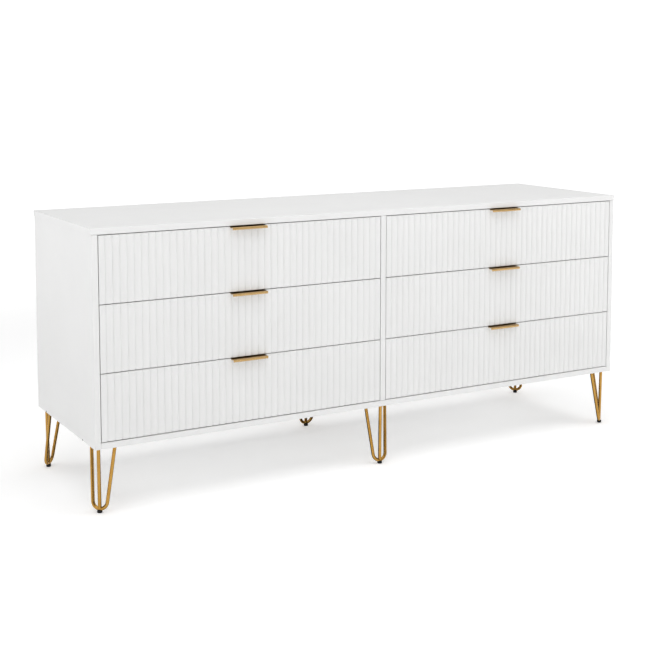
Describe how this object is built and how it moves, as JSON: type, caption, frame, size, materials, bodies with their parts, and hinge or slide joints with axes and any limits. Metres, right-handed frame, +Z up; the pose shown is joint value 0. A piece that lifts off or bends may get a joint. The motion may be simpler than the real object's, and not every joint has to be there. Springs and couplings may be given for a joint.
{
  "type": "dresser with drawers",
  "caption": "Low wide white dresser with two banks of fluted inset drawers on side runners, thin gold edge pulls and gold hairpin legs with black glides.",
  "frame": {"origin": "on the floor under the middle of the bounding box, pulls included", "axes": "+X to the viewer's right along the long side, +Y to the back, so the drawers open along -Y, +Z up"},
  "size_m": [1.6, 0.463, 0.685],
  "materials": {
    "white_lacquer": "satin white lacquer on fibreboard",
    "back_board": "thin hardboard, matt white on one face",
    "drawer_wood": "pale birch-faced board, clear satin finish",
    "drawer_base_board": "thin off-white hardboard",
    "pull_gold": "satin brass-plated sheet",
    "leg_gold": "satin gold-plated rod",
    "glide_black": "matt black moulded plastic",
    "runner_zinc": "bright zinc-plated rolled steel"
  },
  "bodies": {
    "case": {"top_panel": "white_lacquer", "bottom_panel": "white_lacquer", "centre_divider": "white_lacquer", "side_panel_left": "white_lacquer", "side_panel_right": "white_lacquer", "back_panel_left": "back_board", "back_panel_right": "back_board", "runner_outer_left_bottom": "runner_zinc", "runner_inner_left_bottom": "runner_zinc", "runner_outer_left_middle": "runner_zinc", "runner_inner_left_middle": "runner_zinc", "runner_outer_left_top": "runner_zinc", "runner_inner_left_top": "runner_zinc", "runner_outer_right_bottom": "runner_zinc", "runner_inner_right_bottom": "runner_zinc", "runner_outer_right_middle": "runner_zinc", "runner_inner_right_middle": "runner_zinc", "runner_outer_right_top": "runner_zinc", "runner_inner_right_top": "runner_zinc", "leg_front_left": "leg_gold", "glide_front_left": "glide_black", "leg_front_centre": "leg_gold", "glide_front_centre": "glide_black", "leg_front_right": "leg_gold", "glide_front_right": "glide_black", "leg_back_left": "leg_gold", "glide_back_left": "glide_black", "leg_back_centre": "leg_gold", "glide_back_centre": "glide_black", "leg_back_right": "leg_gold", "glide_back_right": "glide_black"},
    "drawer_left_bottom": {"drawer_front_left_bottom": "white_lacquer", "drawer_pull_left_bottom": "pull_gold", "drawer_box_left_bottom": "drawer_wood", "drawer_bottom_left_bottom": "drawer_base_board"},
    "drawer_left_middle": {"drawer_front_left_middle": "white_lacquer", "drawer_pull_left_middle": "pull_gold", "drawer_box_left_middle": "drawer_wood", "drawer_bottom_left_middle": "drawer_base_board"},
    "drawer_left_top": {"drawer_front_left_top": "white_lacquer", "drawer_pull_left_top": "pull_gold", "drawer_box_left_top": "drawer_wood", "drawer_bottom_left_top": "drawer_base_board"},
    "drawer_right_bottom": {"drawer_front_right_bottom": "white_lacquer", "drawer_pull_right_bottom": "pull_gold", "drawer_box_right_bottom": "drawer_wood", "drawer_bottom_right_bottom": "drawer_base_board"},
    "drawer_right_middle": {"drawer_front_right_middle": "white_lacquer", "drawer_pull_right_middle": "pull_gold", "drawer_box_right_middle": "drawer_wood", "drawer_bottom_right_middle": "drawer_base_board"},
    "drawer_right_top": {"drawer_front_right_top": "white_lacquer", "drawer_pull_right_top": "pull_gold", "drawer_box_right_top": "drawer_wood", "drawer_bottom_right_top": "drawer_base_board"}
  },
  "joints": [
    {"name": "drawer_left_bottom_slide", "type": "slide", "parent": "case", "child": "drawer_left_bottom", "axis": [0, -1, 0], "range_m": [0, 0.3]},
    {"name": "drawer_left_middle_slide", "type": "slide", "parent": "case", "child": "drawer_left_middle", "axis": [0, -1, 0], "range_m": [0, 0.3]},
    {"name": "drawer_left_top_slide", "type": "slide", "parent": "case", "child": "drawer_left_top", "axis": [0, -1, 0], "range_m": [0, 0.3]},
    {"name": "drawer_right_bottom_slide", "type": "slide", "parent": "case", "child": "drawer_right_bottom", "axis": [0, -1, 0], "range_m": [0, 0.3]},
    {"name": "drawer_right_middle_slide", "type": "slide", "parent": "case", "child": "drawer_right_middle", "axis": [0, -1, 0], "range_m": [0, 0.3]},
    {"name": "drawer_right_top_slide", "type": "slide", "parent": "case", "child": "drawer_right_top", "axis": [0, -1, 0], "range_m": [0, 0.3]}
  ]
}
